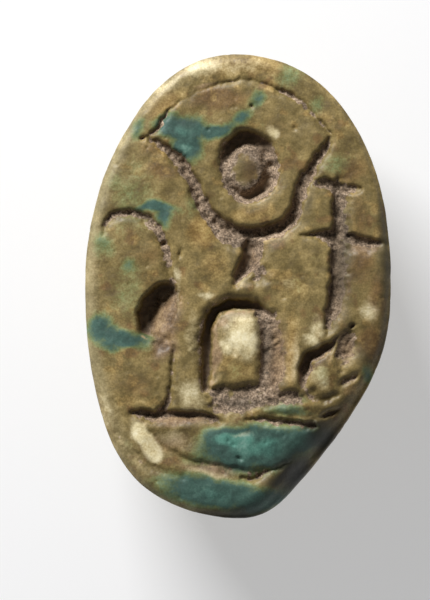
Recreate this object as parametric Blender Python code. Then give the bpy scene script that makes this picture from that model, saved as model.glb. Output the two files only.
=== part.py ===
"""Scaraboid: a small oval seal bead of glazed stone, flat and carved on one face, domed behind.

It lies on its domed back with the carved face up. Metres, +Z up. The origin is under the middle
of the oval, on the flat spot that the bead rests on. +Y runs along the oval, to the end where
the fan is carved.
"""

import math

import bmesh
import bpy
from mathutils import Vector

# Driving sizes of the bead
LENGTH = 0.0160
WIDTH = 0.0105
HEIGHT = 0.0065
GIRDLE_DEPTH = 0.0021
FLAT_SPOT_LENGTH = 0.0042
FLAT_SPOT_WIDTH = 0.0028
EDGE_ROUND = 0.00040
WORN_CORNER_WIDTH = 0.00100
WORN_CORNER_DROP = 0.00100
BORE_DIAMETER = 0.0016
BORE_DEPTH = 0.0031

# Depths of the carving, from the flat face down
FAN_LEFT_DEPTH = 0.00042
FAN_RIGHT_DEPTH = 0.00044
FAN_STEM_DEPTH = 0.00040
FAN_TOP_DEPTH = 0.00014
RING_DEPTH = 0.00047
HOOK_DEPTH = 0.00030
LEAF_DEPTH = 0.00050
LEFT_LINE_DEPTH = 0.00022
BASE_LINE_DEPTH = 0.00020
ARCH_DEPTH = 0.00052
CHANNEL_DEPTH = 0.00034
ARCH_FLOOR_DEPTH = 0.00029
STAFF_DEPTH = 0.00033
UPPER_BAR_DEPTH = 0.00024
LOWER_BAR_DEPTH = 0.00027
SOCKET_DEPTH = 0.00040
BOWL_TOP_DEPTH = 0.00017
BOWL_CURVE_DEPTH = 0.00025

# Widths of the carving, at the face
FAN_LEFT_WIDTH = 0.00040
FAN_RIGHT_WIDTH = 0.00042
FAN_STEM_WIDTH = 0.00036
FAN_TOP_WIDTH = 0.00015
RING_WIDTH = 0.00066
HOOK_WIDTH = 0.00031
LEAF_LENGTH = 0.00250
LEAF_WIDTH = 0.00135
LEFT_LINE_WIDTH = 0.00024
BASE_LINE_WIDTH = 0.00018
ARCH_WIDTH = 0.00037
CHANNEL_WIDTH = 0.00086
ARCH_FLOOR_WIDTH = 0.00078
STAFF_WIDTH = 0.00046
UPPER_BAR_WIDTH = 0.00036
LOWER_BAR_WIDTH = 0.00034
SOCKET_WIDTH = 0.00038
BOWL_TOP_WIDTH = 0.00024
BOWL_CURVE_WIDTH = 0.00032

# Form of the oval, as shares of its half width, and of its radius for the last one
EGG = 0.038
BLUNT_ENDS = 0.08
LEAN = 0.048
BEND = 0.157
SHOULDER = 0.033

# Where the shoulder is round the oval, and how far it spreads, in degrees
SHOULDER_ANGLE = -16.0
SHOULDER_SPREAD = 15.0

# The middles of the ring and the leaf and the ring's two radii, as shares of the half width
# and half length, and how far the leaf leans to the left below, in degrees
RING_CENTRE = (0.066, 0.516)
RING_RADII = (0.152, 0.122)
LEAF_CENTRE = (-0.495, -0.12)
LEAF_TURN = -20.0

# Worn corner: where it is round the oval and how far it spreads, in degrees
WORN_ANGLE = -54.0
WORN_SPREAD = 30.0

# Fullness of the dome: 1 is a half ellipse, less is fuller
DOME_FULLNESS = 0.82

# Facets of the bead's mesh and of its cuts
AROUND = 72
DOME_RINGS = 17
EDGE_RINGS = 3
SIDE_RINGS = 2
BORE_SIDES = 20
LEAF_SIDES = 20
LEAF_RINGS = 14
RING_STOPS = 12
CURVE_STEPS = 4
SHARP_ANGLE = 35.0

# The chisel's cut: its floor as a share of its width, and how far a cutter stands over the face
FLOOR_SHARE = 0.45
CUTTER_LIFT = 0.00045

# How far the bore's cutter runs past each end, and the gap under which points are one
BORE_OVERRUN = 0.0016
WELD_GAP = 1e-7


def clear_scene():
    for old in list(bpy.data.objects):
        bpy.data.objects.remove(old, do_unlink=True)


def make_collection(name):
    collection = bpy.data.collections.new(name)
    bpy.context.scene.collection.children.link(collection)
    return collection


def glazed_stone():
    """Olive-brown worn glaze over pale stone."""
    material = bpy.data.materials.new("glazed_steatite")
    material.use_nodes = True
    shader = material.node_tree.nodes["Principled BSDF"]
    shader.inputs["Base Color"].default_value = (0.245, 0.200, 0.088, 1.0)
    shader.inputs["Roughness"].default_value = 0.55
    shader.inputs["Metallic"].default_value = 0.0
    material.diffuse_color = (0.245, 0.200, 0.088, 1.0)
    return material


def on_face(u, v):
    """A point of the carved face, from shares of the half width and half length."""
    return Vector((u * WIDTH / 2, v * LENGTH / 2, HEIGHT))


def near(angle, middle, spread):
    """A bell curve round the oval: 1 at the middle angle, in degrees, and 0 far from it."""
    off = (math.degrees(angle) - middle + 180.0) % 360.0 - 180.0
    return math.exp(-((off / spread) ** 2))


def oval(angle):
    """The bead's outline: an ellipse, fuller above, with blunt ends, leaning, bent, with a shoulder."""
    v = math.sin(angle)
    lean = (LEAN * v - BEND * min(v, 0.0) ** 2) * (1.0 - v**8)
    u = math.cos(angle) * (1.0 + EGG * v + BLUNT_ENDS * v**8) + lean
    swell = 1.0 + SHOULDER * near(angle, SHOULDER_ANGLE, SHOULDER_SPREAD)
    return Vector((u * WIDTH / 2, v * LENGTH / 2)) * swell


def bead_point(angle, ring):
    """A point of the bead's surface: edge rounding, then the side, then the dome to the flat spot."""
    rim = oval(angle)
    worn = near(angle, WORN_ANGLE, WORN_SPREAD)
    edge_width = EDGE_ROUND + WORN_CORNER_WIDTH * worn
    edge_drop = EDGE_ROUND + WORN_CORNER_DROP * worn
    girdle = HEIGHT - GIRDLE_DEPTH
    if ring <= EDGE_RINGS:
        turn = math.radians(90.0) * ring / EDGE_RINGS
        inset = edge_width * (1.0 - math.sin(turn))
        height = HEIGHT - edge_drop * (1.0 - math.cos(turn))
        flat = rim * (1.0 - inset / rim.length)
        return Vector((flat.x, flat.y, height))
    if ring <= EDGE_RINGS + SIDE_RINGS:
        share = (ring - EDGE_RINGS) / SIDE_RINGS
        top = HEIGHT - edge_drop
        return Vector((rim.x, rim.y, top + (girdle - top) * share))
    turn = math.radians(90.0) * (ring - EDGE_RINGS - SIDE_RINGS) / DOME_RINGS
    spot = Vector((FLAT_SPOT_WIDTH / 2 * math.cos(angle), FLAT_SPOT_LENGTH / 2 * math.sin(angle)))
    flat = spot.lerp(rim, max(math.cos(turn), 0.0) ** DOME_FULLNESS)
    return Vector((flat.x, flat.y, girdle * (1.0 - math.sin(turn))))


def make_bead(collection):
    """A UV sphere whose rings are moved onto the bead: its poles are the middles of face and back."""
    rings = EDGE_RINGS + SIDE_RINGS + DOME_RINGS + 1
    mesh = bpy.data.meshes.new("scaraboid")
    shape = bmesh.new()
    bmesh.ops.create_uvsphere(shape, u_segments=AROUND, v_segments=rings + 1, radius=1.0)
    for vertex in shape.verts:
        if math.hypot(vertex.co.x, vertex.co.y) < 1e-5:
            vertex.co = Vector((0.0, 0.0, HEIGHT if vertex.co.z > 0 else 0.0))
            continue
        angle = math.atan2(vertex.co.y, vertex.co.x)
        polar = math.acos(max(-1.0, min(1.0, vertex.co.z)))
        ring = round(polar / math.pi * (rings + 1)) - 1
        vertex.co = bead_point(angle, ring)
    shape.to_mesh(mesh)
    shape.free()
    mesh.shade_smooth()
    mesh.set_sharp_from_angle(angle=math.radians(SHARP_ANGLE))
    mesh.materials.append(glazed_stone())
    bead = bpy.data.objects.new("scaraboid", mesh)
    collection.objects.link(bead)
    return bead


def make_cutter(name, mesh, collection):
    """A hidden object that is cut out of the bead."""
    cutter = bpy.data.objects.new(name, mesh)
    collection.objects.link(cutter)
    cutter.hide_render = True
    cutter.display_type = "WIRE"
    return cutter


def chisel_section(name, width, depth, collection):
    """The chisel's section: a trapezium as wide as the cut at the face, narrower at its floor."""
    floor = width * FLOOR_SHARE / 2
    slope = (width / 2 - floor) / depth
    top = width / 2 + slope * CUTTER_LIFT
    corners = ((-floor, -depth), (floor, -depth), (top, CUTTER_LIFT), (-top, CUTTER_LIFT))
    curve = bpy.data.curves.new(name + "_section", "CURVE")
    curve.dimensions = "2D"
    spline = curve.splines.new("POLY")
    spline.points.add(len(corners) - 1)
    for point, (across, up) in zip(spline.points, corners):
        point.co = (across, up, 0.0, 1.0)
    spline.use_cyclic_u = True
    section = bpy.data.objects.new(name + "_section", curve)
    collection.objects.link(section)
    return section


def cut_groove(name, route, width, depth, collection, closed=False):
    """A groove along a smooth route. Each stop is (u, v, share), and the share thins the cut there."""
    section = chisel_section(name, width, depth, collection)
    curve = bpy.data.curves.new(name, "CURVE")
    curve.dimensions = "3D"
    curve.twist_mode = "Z_UP"
    curve.resolution_u = CURVE_STEPS
    curve.bevel_mode = "OBJECT"
    curve.bevel_object = section
    curve.use_fill_caps = True
    spline = curve.splines.new("BEZIER")
    spline.bezier_points.add(len(route) - 1)
    for point, (u, v, share) in zip(spline.bezier_points, route):
        point.co = on_face(u, v)
        point.radius = share
        point.handle_left_type = "AUTO"
        point.handle_right_type = "AUTO"
    spline.use_cyclic_u = closed
    path = bpy.data.objects.new(name + "_path", curve)
    collection.objects.link(path)
    bpy.context.view_layer.update()
    evaluated = path.evaluated_get(bpy.context.evaluated_depsgraph_get())
    mesh = bpy.data.meshes.new_from_object(evaluated)
    shape = bmesh.new()
    shape.from_mesh(mesh)
    bmesh.ops.remove_doubles(shape, verts=shape.verts, dist=WELD_GAP)
    bmesh.ops.recalc_face_normals(shape, faces=shape.faces)
    shape.to_mesh(mesh)
    shape.free()
    bpy.data.objects.remove(path)
    bpy.data.objects.remove(section)
    make_cutter(name, mesh, collection)


def cut_hollow(name, centre, length, width, depth, turn, collection):
    """A spoon-shaped hollow: the lower part of an ellipsoid whose middle is level with the face."""
    mesh = bpy.data.meshes.new(name)
    shape = bmesh.new()
    bmesh.ops.create_uvsphere(shape, u_segments=LEAF_SIDES, v_segments=LEAF_RINGS, radius=1.0)
    bmesh.ops.scale(shape, vec=(width / 2, length / 2, depth), verts=shape.verts)
    shape.to_mesh(mesh)
    shape.free()
    cutter = make_cutter(name, mesh, collection)
    cutter.location = on_face(*centre)
    cutter.rotation_euler = (0.0, 0.0, math.radians(turn))


def cut_bore(collection):
    """The stringing hole, drilled end to end along the bead."""
    mesh = bpy.data.meshes.new("stringing_hole")
    shape = bmesh.new()
    bmesh.ops.create_cone(
        shape,
        cap_ends=True,
        segments=BORE_SIDES,
        radius1=BORE_DIAMETER / 2,
        radius2=BORE_DIAMETER / 2,
        depth=LENGTH + 2 * BORE_OVERRUN,
    )
    shape.to_mesh(mesh)
    shape.free()
    cutter = make_cutter("stringing_hole", mesh, collection)
    cutter.location = (0.0, 0.0, HEIGHT - BORE_DEPTH)
    cutter.rotation_euler = (math.radians(90.0), 0.0, 0.0)


def ring_route(centre, radii):
    """A closed oval route on the face."""
    turns = [2 * math.pi * stop / RING_STOPS for stop in range(RING_STOPS)]
    return [
        (centre[0] + radii[0] * math.cos(turn), centre[1] + radii[1] * math.sin(turn), 1.0)
        for turn in turns
    ]


def carve_fan(cutters):
    """The fan with a sunk ring, at the upper end, and the stem below it."""
    left = [(-0.58, 0.64, 0.3), (-0.46, 0.59, 0.6), (-0.31, 0.51, 0.9), (-0.26, 0.41, 1.0)]
    left += [(-0.20, 0.32, 1.0), (-0.07, 0.26, 1.0), (0.06, 0.235, 0.9)]
    right = [(0.62, 0.64, 0.35), (0.49, 0.53, 0.7), (0.40, 0.43, 1.0), (0.36, 0.33, 1.05)]
    right += [(0.25, 0.27, 1.0), (0.08, 0.235, 0.9)]
    stem = [(0.09, 0.245, 0.9), (0.05, 0.17, 1.0), (0.00, 0.06, 0.5)]
    top = [(-0.59, 0.65, 0.8), (-0.41, 0.78, 1.0), (-0.21, 0.855, 0.6), (0.02, 0.89, 0.8)]
    top += [(0.25, 0.855, 1.0), (0.45, 0.79, 1.0), (0.56, 0.71, 0.8), (0.62, 0.64, 0.8)]
    ring = ring_route(RING_CENTRE, RING_RADII)
    cut_groove("fan_left", left, FAN_LEFT_WIDTH, FAN_LEFT_DEPTH, cutters)
    cut_groove("fan_right", right, FAN_RIGHT_WIDTH, FAN_RIGHT_DEPTH, cutters)
    cut_groove("fan_stem", stem, FAN_STEM_WIDTH, FAN_STEM_DEPTH, cutters)
    cut_groove("fan_top", top, FAN_TOP_WIDTH, FAN_TOP_DEPTH, cutters)
    cut_groove("ring", ring, RING_WIDTH, RING_DEPTH, cutters, closed=True)


def carve_left_side(cutters):
    """The hooked line, the spoon-shaped leaf under it and the line down to the base line."""
    hook = [(-0.88, 0.23, 0.5), (-0.83, 0.29, 0.9), (-0.70, 0.322, 1.0), (-0.57, 0.295, 1.0)]
    hook += [(-0.49, 0.22, 1.0), (-0.455, 0.12, 0.8), (-0.42, 0.02, 0.7)]
    line = [(-0.40, -0.22, 0.7), (-0.42, -0.37, 1.0), (-0.44, -0.46, 1.2), (-0.51, -0.55, 0.9)]
    base = [(-0.65, -0.54, 0.7), (-0.47, -0.548, 1.0), (-0.31, -0.55, 1.0), (-0.14, -0.565, 0.8)]
    cut_groove("hook", hook, HOOK_WIDTH, HOOK_DEPTH, cutters)
    cut_hollow("leaf", LEAF_CENTRE, LEAF_LENGTH, LEAF_WIDTH, LEAF_DEPTH, LEAF_TURN, cutters)
    cut_groove("left_line", line, LEFT_LINE_WIDTH, LEFT_LINE_DEPTH, cutters)
    cut_groove("base_line", base, BASE_LINE_WIDTH, BASE_LINE_DEPTH, cutters)


def carve_arch(cutters):
    """The arched groove round the middle boss, open below into a rough floor."""
    arch = [(-0.21, -0.41, 0.7), (-0.215, -0.24, 1.0), (-0.18, -0.13, 1.0), (-0.09, -0.075, 1.0)]
    arch += [(0.03, -0.06, 1.0), (0.16, -0.085, 0.9), (0.25, -0.15, 0.8)]
    channel = [(0.23, -0.13, 0.7), (0.25, -0.25, 1.0), (0.26, -0.36, 1.0), (0.24, -0.47, 1.0)]
    floor = [(-0.16, -0.485, 0.7), (0.03, -0.49, 1.0), (0.22, -0.49, 1.0), (0.37, -0.485, 0.7)]
    cut_groove("arch", arch, ARCH_WIDTH, ARCH_DEPTH, cutters)
    cut_groove("arch_channel", channel, CHANNEL_WIDTH, CHANNEL_DEPTH, cutters)
    cut_groove("arch_floor", floor, ARCH_FLOOR_WIDTH, ARCH_FLOOR_DEPTH, cutters)


def carve_right_side(cutters):
    """The barred staff, and the small boss in its socket below."""
    staff = [(0.66, 0.44, 0.8), (0.66, 0.31, 1.0), (0.65, 0.11, 1.0), (0.63, -0.06, 0.8)]
    staff += [(0.60, -0.18, 0.4)]
    upper_bar = [(0.57, 0.445, 0.8), (0.67, 0.435, 1.0), (0.79, 0.42, 0.5)]
    lower_bar = [(0.44, 0.20, 0.6), (0.65, 0.21, 1.0), (0.80, 0.203, 1.0), (0.90, 0.198, 0.6)]
    socket = [(0.73, -0.19, 0.8), (0.735, -0.33, 1.0), (0.70, -0.44, 0.9), (0.58, -0.49, 0.8)]
    socket += [(0.45, -0.45, 0.8), (0.43, -0.36, 0.9), (0.51, -0.29, 1.0), (0.66, -0.255, 0.8)]
    cut_groove("staff", staff, STAFF_WIDTH, STAFF_DEPTH, cutters)
    cut_groove("upper_bar", upper_bar, UPPER_BAR_WIDTH, UPPER_BAR_DEPTH, cutters)
    cut_groove("lower_bar", lower_bar, LOWER_BAR_WIDTH, LOWER_BAR_DEPTH, cutters)
    cut_groove("socket", socket, SOCKET_WIDTH, SOCKET_DEPTH, cutters)


def carve_bowl(cutters):
    """The bowl across the lower end: a broken line on top and a long curve below."""
    top_left = [(-0.50, -0.60, 0.8), (-0.32, -0.595, 1.0), (-0.14, -0.60, 0.7)]
    top_right = [(0.05, -0.58, 0.6), (0.20, -0.575, 1.0), (0.36, -0.585, 1.0), (0.53, -0.61, 0.7)]
    below = [(-0.56, -0.62, 0.7), (-0.47, -0.71, 0.9), (-0.28, -0.78, 1.0), (-0.01, -0.815, 1.0)]
    below += [(0.24, -0.785, 1.0), (0.42, -0.72, 0.8), (0.53, -0.64, 0.6)]
    cut_groove("bowl_top_left", top_left, BOWL_TOP_WIDTH, BOWL_TOP_DEPTH, cutters)
    cut_groove("bowl_top_right", top_right, BOWL_TOP_WIDTH, BOWL_TOP_DEPTH, cutters)
    cut_groove("bowl_curve", below, BOWL_CURVE_WIDTH, BOWL_CURVE_DEPTH, cutters)


def main():
    clear_scene()
    parts = make_collection("scaraboid")
    cutters = make_collection("cutters")
    bead = make_bead(parts)
    for cut in (cut_bore, carve_fan, carve_left_side, carve_arch, carve_right_side, carve_bowl):
        cut(cutters)
    boolean = bead.modifiers.new("carving", "BOOLEAN")
    boolean.operation = "DIFFERENCE"
    boolean.solver = "EXACT"
    boolean.operand_type = "COLLECTION"
    boolean.collection = cutters
    bpy.context.view_layer.update()


main()
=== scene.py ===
"""Looks of the scaraboid: a worn seal bead of glazed steatite, lying on its domed back.

Lengths are in millimetres until a mesh is made, +Z up, with the origin under the oval's middle.
A place on the carved face is (u, v), shares of the oval's half width and half length. Angles go
anticlockwise from +X, seen from above. The whole number after the size of grains or noise is a seed.
"""

import math

import bmesh
import bpy
import numpy as np
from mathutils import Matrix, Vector


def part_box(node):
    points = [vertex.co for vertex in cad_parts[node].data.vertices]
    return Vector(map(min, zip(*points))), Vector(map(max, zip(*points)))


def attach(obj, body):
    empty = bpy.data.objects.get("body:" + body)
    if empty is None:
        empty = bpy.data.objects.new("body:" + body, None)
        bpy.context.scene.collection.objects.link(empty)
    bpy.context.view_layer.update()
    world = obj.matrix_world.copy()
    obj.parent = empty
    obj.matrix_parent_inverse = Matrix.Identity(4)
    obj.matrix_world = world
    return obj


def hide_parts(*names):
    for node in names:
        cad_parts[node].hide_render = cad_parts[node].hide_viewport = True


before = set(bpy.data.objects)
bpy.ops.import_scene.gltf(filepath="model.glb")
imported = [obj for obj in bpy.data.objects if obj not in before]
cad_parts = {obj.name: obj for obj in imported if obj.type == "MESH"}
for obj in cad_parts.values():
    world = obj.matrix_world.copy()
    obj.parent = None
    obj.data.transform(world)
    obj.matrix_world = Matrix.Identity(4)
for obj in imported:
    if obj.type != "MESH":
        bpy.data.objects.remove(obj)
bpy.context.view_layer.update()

MM = 0.001

# Sizes of the bead: length and height as the frame has them, the rest as in the solid
LOW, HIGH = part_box("scaraboid")
LENGTH = (HIGH.y - LOW.y) / MM
HEIGHT = HIGH.z / MM
WIDTH = 10.5
GIRDLE = HEIGHT - 2.1
FLAT_SPOT_LENGTH = 4.2
FLAT_SPOT_WIDTH = 2.8
EDGE_ROUND = 0.40
WORN_CORNER_WIDTH = 1.00
WORN_CORNER_DROP = 1.00
BORE_RADIUS = 0.8
BORE_HEIGHT = HEIGHT - 3.1

# The hole widens by a flare where it leaves the stone, and its wall is uneven. The bar that cuts it runs
# past the bead at both ends and has this many points round and along.
BORE_FLARE = 0.16
BORE_FLARE_REACH = 1.6
BORE_UNEVEN = 0.02
BORE_OVERRUN = 1.0
BORE_CELLS = (40, 60)

# Form of the oval, its worn corner and its dome, in shares and degrees
EGG = 0.038
BLUNT_ENDS = 0.08
LEAN = 0.048
BEND = 0.157
SHOULDER = 0.033
SHOULDER_ANGLE = -16.0
SHOULDER_SPREAD = 15.0
WORN_ANGLE = -54.0
WORN_SPREAD = 30.0
DOME_FULLNESS = 0.82
DOME_ARC = 1.15

# The face is a grid of cells across and along, and its rim's points are halved twice down the back
FACE_CELLS = (232, 348)
BACK_LOOPS = 44
HALVINGS = 2

# The map that the carving is worked out on: its reach from the middle, and the cell
MAP_REACH = (5.7, 8.4)
CELL = 0.018

# A groove's floor, as a share of its width, and the steps of a route between two stops
FLOOR_SHARE = 0.58
ROUTE_STEPS = 10

# From a groove's worn side, which faces the key light and carries the pale lip (worn stone and a painted
# highlight),
# the way to the groove: up and to the left
WORN_SIDE = math.radians(122.0)

# Wear of the face. The cuts' edges wander, as (reach, size of grains). A narrow and a wide blur of the
# cuts, each by its share, round their edges and make their worn slopes. Waves are (height, size, seed).
WANDER = ((0.024, 0.36), (0.018, 0.12))
NARROW_SHARE = 0.90
WIDE_SHARE = 0.44
WAVES = ((0.014, 1.3, 31), (0.006, 0.42, 32), (0.003, 0.15, 33))
PORE_DEPTH = 0.035
FACE_LOSS = 0.055
RIM_FALL = 0.07
CORNER_FALL = 0.30

# Wear of the rim, sides and back: depth of the slow wear, the pits and the chips
SIDE_WEAR = 0.014
SIDE_PITS = 0.018
SIDE_CHIPS = 0.10

# How far noise shifts the edges of the finish's patches
PATCH_WANDER = 0.14


def smooth(low, high, value):
    """0 below low, 1 above high, and an eased ramp between."""
    share = np.clip((value - low) / (high - low), 0.0, 1.0)
    return share * share * (3 - 2 * share)


# Form of the bead

def near(angle, middle, spread):
    """A bell curve round the oval: 1 at the middle angle, in degrees, and 0 far from it."""
    off = (np.degrees(angle) - middle + 180.0) % 360.0 - 180.0
    return np.exp(-((off / spread) ** 2))


def oval(angle):
    """The outline: u is the cosine, larger above and at the blunt ends, and v is the sine.

    It leans by a share of v, bends left below by the square of v, and swells at the shoulder.
    """
    v = np.sin(angle)
    lean = (LEAN * v - BEND * np.minimum(v, 0.0) ** 2) * (1.0 - v**8)
    u = np.cos(angle) * (1.0 + EGG * v + BLUNT_ENDS * v**8) + lean
    swell = 1.0 + SHOULDER * near(angle, SHOULDER_ANGLE, SHOULDER_SPREAD)
    return u * WIDTH / 2 * swell, v * LENGTH / 2 * swell


def edge_size(angle):
    """Width and drop of the edge rounding, larger at the worn corner."""
    worn = near(angle, WORN_ANGLE, WORN_SPREAD)
    return EDGE_ROUND + WORN_CORNER_WIDTH * worn, EDGE_ROUND + WORN_CORNER_DROP * worn


def face_points(radius, angle):
    """The face: flat up to the edge, then a quarter ellipse down to the rim."""
    rim_x, rim_y = oval(angle)
    width, drop = edge_size(angle)
    reach = np.hypot(rim_x, rim_y)
    arc = math.pi / 2 * np.sqrt((width**2 + drop**2) / 2)
    along = radius * (reach - width + arc)
    turn = np.clip((along - (reach - width)) / arc, 0.0, 1.0) * math.pi / 2
    out = np.where(turn > 0, reach - width * (1 - np.sin(turn)), along) / reach
    height = HEIGHT - drop * (1 - np.cos(turn))
    return np.stack([rim_x * out, rim_y * out, height], axis=-1)


def back_points(share, angle):
    """The back: from the rim straight down to the girdle, over the dome and in to the flat spot's middle.

    Over the dome, the reach past the spot falls by a power of the cosine, and the height as one less sine.
    """
    rim_x, rim_y = oval(angle)
    side = HEIGHT - edge_size(angle)[1] - GIRDLE
    spot_x = FLAT_SPOT_WIDTH / 2 * np.cos(angle)
    spot_y = FLAT_SPOT_LENGTH / 2 * np.sin(angle)
    spot = np.hypot(spot_x, spot_y)
    arc = DOME_ARC * np.hypot(np.hypot(rim_x, rim_y) - spot, GIRDLE)
    along = share * (side + arc + spot)
    turn = np.clip((along - side) / arc, 0.0, 1.0) * math.pi / 2
    inward = 1 - np.clip((along - side - arc) / spot, 0.0, 1.0)
    out = np.cos(turn).clip(0.0) ** DOME_FULLNESS
    x = (spot_x + (rim_x - spot_x) * out) * inward
    y = (spot_y + (rim_y - spot_y) * out) * inward
    z = np.where(along < side, GIRDLE + side - along, GIRDLE * (1 - np.sin(turn)))
    return np.stack([x, y, z], axis=-1)


# Random but repeatable wear

def noise(points, size, seed, octaves=1):
    """Smooth noise about zero in space: random values on a lattice `size` mm apart, eased between corners.

    The lattice repeats. Each further octave is half as large and half as strong, and lies elsewhere.
    """
    repeat = 32
    table = np.random.default_rng(seed).uniform(-1.0, 1.0, (repeat, repeat, repeat))
    total = np.zeros(len(points))
    strength = 1.0
    for octave in range(octaves):
        place = points / size + 7.3 * octave + 100.0
        cell = np.floor(place).astype(int)
        ease = place - cell
        ease = ease * ease * (3 - 2 * ease)
        for corner in range(8):
            step = np.array([corner & 1, corner >> 1 & 1, corner >> 2 & 1])
            weight = np.prod(np.where(step, ease, 1 - ease), axis=1)
            i, j, k = ((cell + step) % repeat).T
            total += strength * weight * table[i, j, k]
        strength *= 0.5
        size *= 0.5
    return total


MAP_X, MAP_Y = np.meshgrid(
    np.arange(-MAP_REACH[0], MAP_REACH[0], CELL), np.arange(-MAP_REACH[1], MAP_REACH[1], CELL)
)


def soften(field, spread):
    """A map blurred by a bell curve, `spread` mm wide, through its spectrum."""
    across = np.fft.rfftfreq(field.shape[1], CELL)
    along = np.fft.fftfreq(field.shape[0], CELL)[:, None]
    fade = np.exp(-2 * (math.pi * spread) ** 2 * (across**2 + along**2))
    return np.fft.irfft2(np.fft.rfft2(field) * fade, s=field.shape)


def grains(size, seed):
    """Grains about `size` mm across on the map: blurred white noise, with a mean of 0 and a spread of 1."""
    white = np.random.default_rng(seed).standard_normal(MAP_X.shape)
    soft = soften(white, size / 3)
    return (soft - soft.mean()) / soft.std()


def at(field, x, y):
    """A map read at any places: the mean of the four cells round each, weighed by nearness."""
    i = np.clip((x + MAP_REACH[0]) / CELL, 0, field.shape[1] - 1.001)
    j = np.clip((y + MAP_REACH[1]) / CELL, 0, field.shape[0] - 1.001)
    i0, j0 = i.astype(int), j.astype(int)
    i, j = i - i0, j - j0
    near_row = field[j0, i0] * (1 - i) + field[j0, i0 + 1] * i
    far_row = field[j0 + 1, i0] * (1 - i) + field[j0 + 1, i0 + 1] * i
    return near_row * (1 - j) + far_row * j


# The carving

def route_line(stops):
    """A smooth line through the stops (u, v, share), in mm.

    Each piece is a cubic that leaves a stop in the direction from the stop before to the stop after.
    """
    points = np.array(stops, float)
    points[:, 0] *= WIDTH / 2
    points[:, 1] *= LENGTH / 2
    points = np.vstack([2 * points[0] - points[1], points, 2 * points[-1] - points[-2]])
    t = np.linspace(0.0, 1.0, ROUTE_STEPS, endpoint=False)[:, None, None]
    p0, p1, p2, p3 = points[:-3], points[1:-2], points[2:-1], points[3:]
    line = 0.5 * (2 * p1 + (p2 - p0) * t + (2 * p0 - 5 * p1 + 4 * p2 - p3) * t**2)
    line += 0.5 * (3 * p1 - p0 - 3 * p2 + p3) * t**3
    return np.vstack([line.transpose(1, 0, 2).reshape(-1, 3), points[-2]])


def groove(x, y, stops, width, depth, left=0.0, right=0.0):
    """Depth of a groove at each place: its floor, then walls up to the face, by the distance from its route.

    A fresh wall eases in and out. Seen along the route, the wall on the left or right can run out
    further, as a worn slope by the power 1.5. Each stop's share multiplies width, depth and slope.
    """
    line = route_line(stops)
    reach = width + max(left, right)
    cut = np.zeros_like(x)
    low, high = line[:, :2].min(0) - reach, line[:, :2].max(0) + reach
    inside = np.nonzero((x > low[0]) & (x < high[0]) & (y > low[1]) & (y < high[1]))
    start, run = line[:-1], np.diff(line, axis=0)
    off_x = x[inside][:, None] - start[:, 0]
    off_y = y[inside][:, None] - start[:, 1]
    along = (off_x * run[:, 0] + off_y * run[:, 1]) / (run[:, 0] ** 2 + run[:, 1] ** 2)
    along = np.clip(along, 0.0, 1.0)
    away = np.hypot(off_x - along * run[:, 0], off_y - along * run[:, 1])
    best = away.argmin(1)
    row = np.arange(len(best))
    away, along = away[row, best], along[row, best]
    share = start[best, 2] + along * run[best, 2]
    leftward = run[best, 0] * off_y[row, best] - run[best, 1] * off_x[row, best] > 0
    slope = np.where(leftward, left, right) * share
    floor = FLOOR_SHARE * width / 2 * share
    climb = np.clip((away - floor) / (width / 2 * share - floor + slope), 0.0, 1.0)
    wall = np.where(slope > 0, (1 - climb) ** 1.5, 1 - climb * climb * (3 - 2 * climb))
    cut[inside] = depth * share * wall
    return cut


def oval_distance(x, y, place):
    """Distance from an oval's middle, 1 on its outline.

    A place is (u, v, half width, half length, turn), in mm and degrees, and what follows is left unread.
    """
    u, v, across, along, turn = place[:5]
    dx, dy = x - u * WIDTH / 2, y - v * LENGTH / 2
    c, s = math.cos(math.radians(turn)), math.sin(math.radians(turn))
    return np.hypot((c * dx + s * dy) / across, (c * dy - s * dx) / along)


def patches(x, y, places):
    """The strongest of several soft ovals: bell curves, with half of their strength on the outline."""
    logarithm_of_half = -0.693
    best = np.zeros_like(x)
    for place in places:
        best = np.maximum(best, place[5] * np.exp(logarithm_of_half * oval_distance(x, y, place) ** 2))
    return best


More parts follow.
